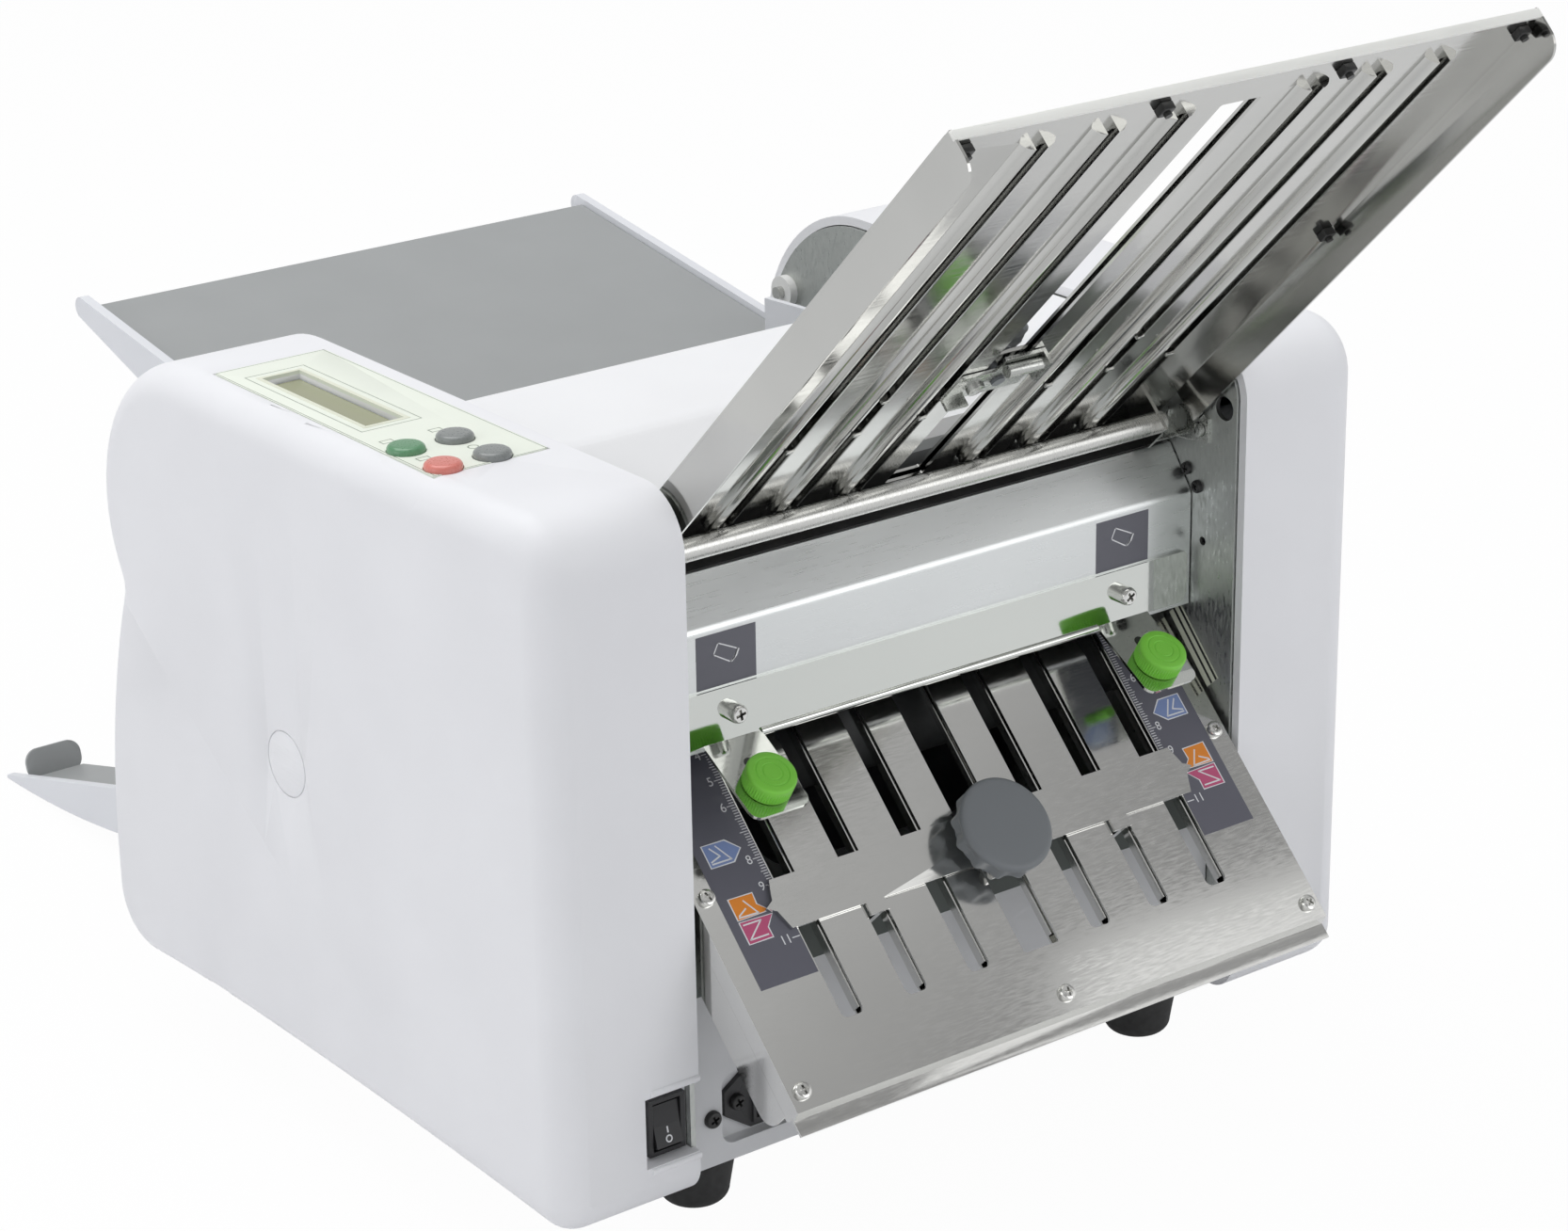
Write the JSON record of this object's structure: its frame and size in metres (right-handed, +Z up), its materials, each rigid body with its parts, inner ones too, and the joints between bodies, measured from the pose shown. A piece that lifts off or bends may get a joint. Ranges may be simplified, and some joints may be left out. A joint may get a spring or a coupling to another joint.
{
  "type": "paper folding machine",
  "caption": "Desk paper folding machine with a sloping feed table, a lower and an upper slotted fold plate with sliding stops, gear-driven fold rollers and a delivery tray.",
  "frame": {"origin": "on the table under the rubber feet, on the centre plane, under the middle of the machine's length", "axes": "+X to the machine's right seen from the fold plates, +Y along the paper path from the fold plates to the trays, +Z up"},
  "size_m": [0.37, 0.6538, 0.4128],
  "materials": {
    "cover_white": "fine matt moulded shell",
    "frame_steel": "galvanised sheet",
    "base_paint": "light grey powder coat",
    "foot_rubber": "moulded rubber",
    "turned_steel": "turned bright bar",
    "bush_plastic": "white acetal",
    "table_grey": "mid grey powder coat",
    "rail_white": "matt moulded plastic",
    "feed_rubber": "soft feed rubber",
    "plate_steel": "fine brushed stainless sheet",
    "screw_bright": "zinc plated",
    "bright_steel": "polished",
    "knob_grey": "satin moulded plastic",
    "thumb_green": "bright green moulded plastic",
    "lid_white": "satin moulded plastic",
    "panel_green": "pale green membrane foil",
    "display": "liquid crystal display on a circuit board",
    "switch_black": "black moulded plastic",
    "screw_black": "black oxide",
    "motor_paint": "dark grey enamel",
    "pulley_plastic": "black moulded plastic",
    "belt_rubber": "moulded belt",
    "roller_rubber": "ground rubber sleeve",
    "gear_acetal": "natural acetal",
    "key_green": "semi-gloss dome",
    "key_red": "semi-gloss dome",
    "key_grey": "semi-gloss dome"
  },
  "bodies": {
    "machine": {"left_cover": "cover_white", "right_cover": "cover_white", "left_side_frame": "frame_steel", "right_side_frame": "frame_steel", "base_pan": "base_paint", "feet": "foot_rubber", "frame_rods": "turned_steel", "shaft_bearings": "bush_plastic", "feed_table": "table_grey", "feed_table_rails": "rail_white", "separator_pad": "feed_rubber", "delivery_chute": "frame_steel", "delivery_tray": "rail_white", "delivery_tray_plate": "table_grey", "lower_plate_cover": "plate_steel", "lower_plate_front": "plate_steel", "lower_plate_back": "plate_steel", "upper_plate_front": "plate_steel", "upper_plate_back": "plate_steel", "plate_screws": "screw_bright", "cross_rod": "turned_steel", "plate_hooks": "bright_steel", "deflector_cover": "plate_steel", "retaining_bar": "bright_steel", "bar_screws": "screw_bright", "control_panel": "panel_green", "display_module": "display", "switch_body": "switch_black", "inlet_socket": "switch_black", "base_screws": "screw_black", "motor": "motor_paint", "belts": "belt_rubber"},
    "lid": {"top_cover": "lid_white"},
    "centre_roller_set": {"centre_roller": "roller_rubber", "centre_gear": "gear_acetal", "drive_pulley": "pulley_plastic"},
    "feed_nip_roller_set": {"feed_nip_roller": "roller_rubber", "feed_nip_gear": "gear_acetal", "feed_drive_pulley": "pulley_plastic"},
    "fold_nip_roller_set": {"fold_nip_roller": "roller_rubber", "fold_nip_gear": "gear_acetal"},
    "exit_roller_set": {"exit_roller": "roller_rubber", "exit_gear": "gear_acetal"},
    "feed_roller_set": {"feed_shaft": "turned_steel", "feed_wheels": "feed_rubber"},
    "motor_rotor": {"motor_shaft": "turned_steel"},
    "lower_stop": {"lower_stop_bar": "plate_steel"},
    "lower_knob": {"lower_stop_knob": "knob_grey"},
    "upper_stop": {"upper_stop_bar": "plate_steel", "upper_clamp": "bright_steel"},
    "upper_knob": {"upper_stop_knob": "knob_grey"},
    "left_thumb": {"left_thumbscrew": "thumb_green"},
    "right_thumb": {"right_thumbscrew": "thumb_green"},
    "switch_rocker": {"rocker": "switch_black"},
    "start_key": {"start_button": "key_green"},
    "stop_key": {"stop_button": "key_red"},
    "mode_key": {"mode_button": "key_grey"},
    "clear_key": {"clear_button": "key_grey"},
    "left_guide": {"left_paper_guide": "rail_white"},
    "right_guide": {"right_paper_guide": "rail_white"}
  },
  "joints": [
    {"name": "centre_roller_turn", "type": "hinge", "parent": "machine", "child": "centre_roller_set", "pos_m": [0, -0.10462, 0.17202], "axis": [1, 0, 0], "continuous": true},
    {"name": "feed_nip_roller_turn", "type": "hinge", "parent": "machine", "child": "feed_nip_roller_set", "pos_m": [0, -0.07916, 0.19747], "axis": [1, 0, 0], "continuous": true},
    {"name": "fold_nip_roller_turn", "type": "hinge", "parent": "machine", "child": "fold_nip_roller_set", "pos_m": [0, -0.13007, 0.19747], "axis": [1, 0, 0], "continuous": true},
    {"name": "exit_roller_turn", "type": "hinge", "parent": "machine", "child": "exit_roller_set", "pos_m": [0, -0.11693, 0.13819], "axis": [1, 0, 0], "continuous": true},
    {"name": "feed_roller_turn", "type": "hinge", "parent": "machine", "child": "feed_roller_set", "pos_m": [0, -0.03169, 0.2182], "axis": [1, 0, 0], "continuous": true},
    {"name": "motor_turn", "type": "hinge", "parent": "machine", "child": "motor_rotor", "pos_m": [0.11, -0.03969, 0.071], "axis": [1, 0, 0], "continuous": true},
    {"name": "lid_hinge", "type": "hinge", "parent": "machine", "child": "lid", "pos_m": [0, -0.05969, 0.2575], "axis": [-1, 0, 0], "range_deg": [0, 75]},
    {"name": "lower_stop_slide", "type": "slide", "parent": "machine", "child": "lower_stop", "axis": [0, -0.7071, -0.7071], "range_m": [-0.034, 0.027]},
    {"name": "lower_knob_turn", "type": "hinge", "parent": "lower_stop", "child": "lower_knob", "pos_m": [0, -0.19532, 0.1195], "axis": [0, -0.7071, 0.7071], "range_deg": [0, 270]},
    {"name": "upper_stop_slide", "type": "slide", "parent": "machine", "child": "upper_stop", "axis": [0, -0.7071, 0.7071], "range_m": [-0.025, 0.14]},
    {"name": "upper_knob_turn", "type": "hinge", "parent": "upper_stop", "child": "upper_knob", "pos_m": [0, -0.19309, 0.2916], "axis": [0, 0.7071, 0.7071], "range_deg": [0, 270]},
    {"name": "left_thumbscrew_turn", "type": "hinge", "parent": "machine", "child": "left_thumb", "pos_m": [-0.087, -0.18332, 0.15953], "axis": [0, -0.515, 0.8572], "range_deg": [0, 720]},
    {"name": "right_thumbscrew_turn", "type": "hinge", "parent": "machine", "child": "right_thumb", "pos_m": [0.087, -0.18332, 0.15953], "axis": [0, -0.515, 0.8572], "range_deg": [0, 720]},
    {"name": "rocker_tilt", "type": "hinge", "parent": "machine", "child": "switch_rocker", "pos_m": [-0.1324, -0.18099, 0.049], "axis": [1, 0, 0], "range_deg": [0, 18]},
    {"name": "start_key_press", "type": "slide", "parent": "machine", "child": "start_key", "axis": [0, 0, -1], "range_m": [0, 0.0012], "stiffness_N_per_m": 400, "springref_m": -0.0006},
    {"name": "stop_key_press", "type": "slide", "parent": "machine", "child": "stop_key", "axis": [0, 0, -1], "range_m": [0, 0.0012], "stiffness_N_per_m": 400, "springref_m": -0.0006},
    {"name": "mode_key_press", "type": "slide", "parent": "machine", "child": "mode_key", "axis": [0, 0, -1], "range_m": [0, 0.0012], "stiffness_N_per_m": 400, "springref_m": -0.0006},
    {"name": "clear_key_press", "type": "slide", "parent": "machine", "child": "clear_key", "axis": [0, 0, -1], "range_m": [0, 0.0012], "stiffness_N_per_m": 400, "springref_m": -0.0006},
    {"name": "left_guide_slide", "type": "slide", "parent": "machine", "child": "left_guide", "axis": [1, 0, 0], "range_m": [0, 0.05]},
    {"name": "right_guide_slide", "type": "slide", "parent": "machine", "child": "right_guide", "axis": [-1, 0, 0], "range_m": [0, 0.05]}
  ],
  "couplings": [
    {"joint": "feed_nip_roller_turn", "follows": "centre_roller_turn", "ratio": -1},
    {"joint": "fold_nip_roller_turn", "follows": "centre_roller_turn", "ratio": -1},
    {"joint": "exit_roller_turn", "follows": "centre_roller_turn", "ratio": -1},
    {"joint": "feed_roller_turn", "follows": "centre_roller_turn", "ratio": -1},
    {"joint": "motor_turn", "follows": "centre_roller_turn", "ratio": 2.4}
  ]
}
